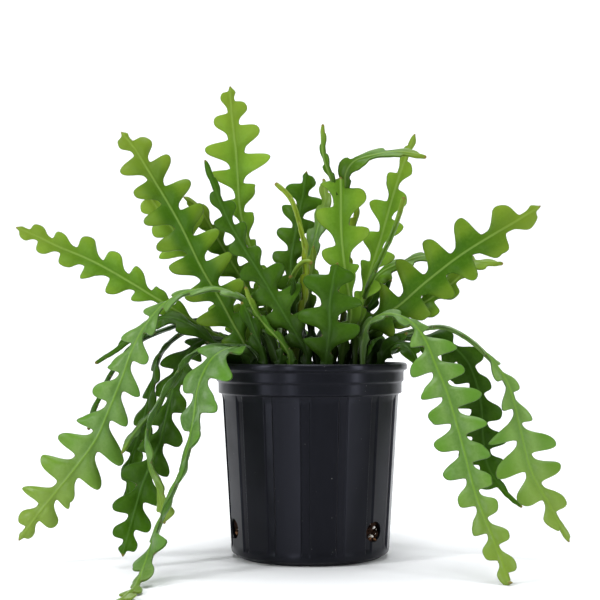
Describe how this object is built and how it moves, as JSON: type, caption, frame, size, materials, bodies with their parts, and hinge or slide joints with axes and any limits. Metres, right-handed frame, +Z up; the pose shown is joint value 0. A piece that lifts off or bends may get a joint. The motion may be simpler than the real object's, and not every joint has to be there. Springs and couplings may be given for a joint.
{
  "type": "potted fishbone cactus",
  "caption": "Fishbone cactus in a black fluted nursery pot: flat zigzag-lobed stems stand up in the middle and arch over the rim to the surface.",
  "frame": {"origin": "the middle of the pot's flat underside, on the surface that it stands on", "axes": "+Z up along the pot's axis; the front, from which the picture is taken, looks along +Y, with +X to its right"},
  "size_m": [0.4768, 0.3855, 0.4141],
  "materials": {
    "pot_plastic": "satin",
    "potting_mix": "matte",
    "green_stem": "satin",
    "deep_green_stem": "satin",
    "blue_green_stem": "satin",
    "young_stem": "satin"
  },
  "bodies": {
    "root": {"pot": "pot_plastic", "potting_mix": "potting_mix", "stem_far_left": "green_stem", "stem_left_arch": "blue_green_stem", "stem_tall_left": "green_stem", "stem_behind_tall_left": "young_stem", "stem_inner_left": "deep_green_stem", "stem_top": "green_stem", "stem_front_diagonal": "deep_green_stem", "stem_front_left_short": "blue_green_stem", "stem_brown_tipped": "green_stem", "stem_front_short": "deep_green_stem", "stem_centre": "green_stem", "stem_right_upright": "green_stem", "stem_right_thin_arch": "green_stem", "stem_right_reaching": "green_stem", "stem_right_lower": "green_stem", "stem_right_front_drooping": "blue_green_stem", "stem_far_right_drooping": "blue_green_stem", "stem_right_back_drooping": "deep_green_stem", "stem_rim_right_small": "deep_green_stem", "stem_right_short_brown": "deep_green_stem", "stem_right_thin_upright": "deep_green_stem", "stem_pale_tip": "young_stem", "stem_centre_small": "green_stem", "stem_centre_pale": "blue_green_stem", "stem_centre_back": "deep_green_stem", "stem_centre_yellow": "young_stem", "stem_centre_curled": "green_stem", "stem_left_low_arch": "deep_green_stem", "stem_left_back_thin": "deep_green_stem", "stem_left_back_drooping": "deep_green_stem", "stem_left_wide_drooping": "deep_green_stem", "stem_left_edge_on": "green_stem", "stem_front_trailing": "green_stem", "stem_front_stub": "deep_green_stem", "stem_back_left": "deep_green_stem", "stem_back_1": "green_stem", "stem_back_2": "blue_green_stem", "stem_back_3": "deep_green_stem", "stem_back_4": "green_stem", "stem_back_right": "deep_green_stem"}
  },
  "joints": []
}
